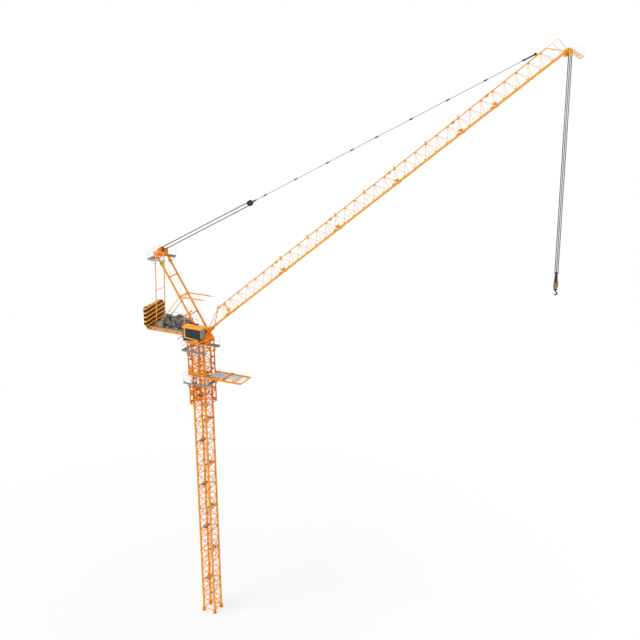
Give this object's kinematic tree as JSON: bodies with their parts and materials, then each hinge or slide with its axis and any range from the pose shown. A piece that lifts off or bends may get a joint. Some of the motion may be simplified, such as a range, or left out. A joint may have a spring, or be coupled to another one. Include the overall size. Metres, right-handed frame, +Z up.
{
  "type": "1:2 scale model of a luffing-jib tower crane",
  "caption": "Lattice tower crane with a luffing jib, A-frame, cab, counterweighted deck, climbing cage and hook, as a 1:2 scale model held at its mast foot.",
  "frame": {"origin": "centre of the underside of the mast foot at the rear near corner", "axes": "+X along the jib from the mast, +Y across the jib, +Z up"},
  "size_m": [24.9277, 2.24, 36.5264],
  "materials": {
    "tower_paint": "satin",
    "jib_paint": "satin",
    "pale_paint": "satin",
    "galvanised": "matte",
    "machine_grey": "satin",
    "cab_paint": "gloss",
    "glass": "gloss",
    "slab_paint": "satin",
    "hydraulic_red": "gloss",
    "wire_rope": "matte",
    "pendant_steel": "satin",
    "block_paint": "satin",
    "hook_steel": "satin",
    "pin_steel": "satin",
    "rail_paint": "satin"
  },
  "bodies": {
    "tower": {"mast_feet": "tower_paint", "mast_chords": "tower_paint", "mast_lacing_front": "tower_paint", "mast_lacing_left": "tower_paint", "mast_lacing_rear": "tower_paint", "mast_lacing_right": "tower_paint", "mast_rest_platforms": "galvanised", "mast_ladders": "tower_paint", "climbing_cage_sides": "tower_paint", "climbing_cage_lacing": "tower_paint", "cage_platforms": "galvanised", "cage_handrails": "rail_paint", "climbing_cylinder": "hydraulic_red", "introducing_beam": "tower_paint", "introducing_gratings": "galvanised", "introducing_stays": "rail_paint", "slewing_support": "tower_paint"},
    "upperworks": {"slewing_ring": "tower_paint", "turntable": "tower_paint", "jib_pivot_pins": "pin_steel", "deck_frame": "tower_paint", "deck_walkways": "galvanised", "deck_handrails": "rail_paint", "counterweights": "slab_paint", "luffing_winch": "machine_grey", "hoist_winch": "machine_grey", "electrical_cabinet": "machine_grey", "service_davit": "tower_paint", "cab_platform": "machine_grey", "cab_shell": "cab_paint", "cab_glass": "glass", "a_frame_legs": "tower_paint", "a_frame_rear_ties": "pale_paint", "a_frame_braces": "pale_paint", "jib_backstops": "tower_paint", "a_frame_head": "tower_paint", "head_sheaves": "machine_grey", "head_platform": "galvanised", "head_handrails": "rail_paint", "luffing_ropes": "wire_rope"},
    "jib": {"jib_foot_section": "jib_paint", "jib_section_1": "jib_paint", "jib_section_2": "jib_paint", "jib_section_3": "jib_paint", "jib_section_4": "jib_paint", "jib_head_section": "jib_paint", "jib_head_sheaves": "machine_grey", "tip_platform": "jib_paint", "floating_block": "machine_grey", "pendant_bars": "pendant_steel"},
    "hoist_line": {"hoist_ropes": "wire_rope"},
    "hook_block": {"hook_block": "block_paint"},
    "hook": {"hook": "hook_steel"}
  },
  "joints": [
    {"name": "slew", "type": "hinge", "parent": "tower", "child": "upperworks", "pos_m": [0.405, 0.405, 18.65], "axis": [0, 0, 1], "continuous": true},
    {"name": "luff", "type": "hinge", "parent": "upperworks", "child": "jib", "pos_m": [1.077, 0.405, 19.421], "axis": [0, -1, 0], "range_deg": [-24.76, 43.24], "deforming": ["luffing_ropes"]},
    {"name": "hoist_swing", "type": "hinge", "parent": "jib", "child": "hoist_line", "pos_m": [21.57122, 0.405, 36.31582], "axis": [0, -1, 0], "range_deg": [-44, 25.5]},
    {"name": "hoist", "type": "slide", "parent": "hoist_line", "child": "hook_block", "axis": [0, 0, -1], "range_m": [-9.8, 24], "deforming": ["hoist_ropes"]},
    {"name": "hook_swivel", "type": "hinge", "parent": "hook_block", "child": "hook", "pos_m": [21.57122, 0.405, 24.67582], "axis": [0, 0, 1], "continuous": true}
  ],
  "couplings": [
    {"joint": "hoist_swing", "follows": "luff", "ratio": -1}
  ]
}
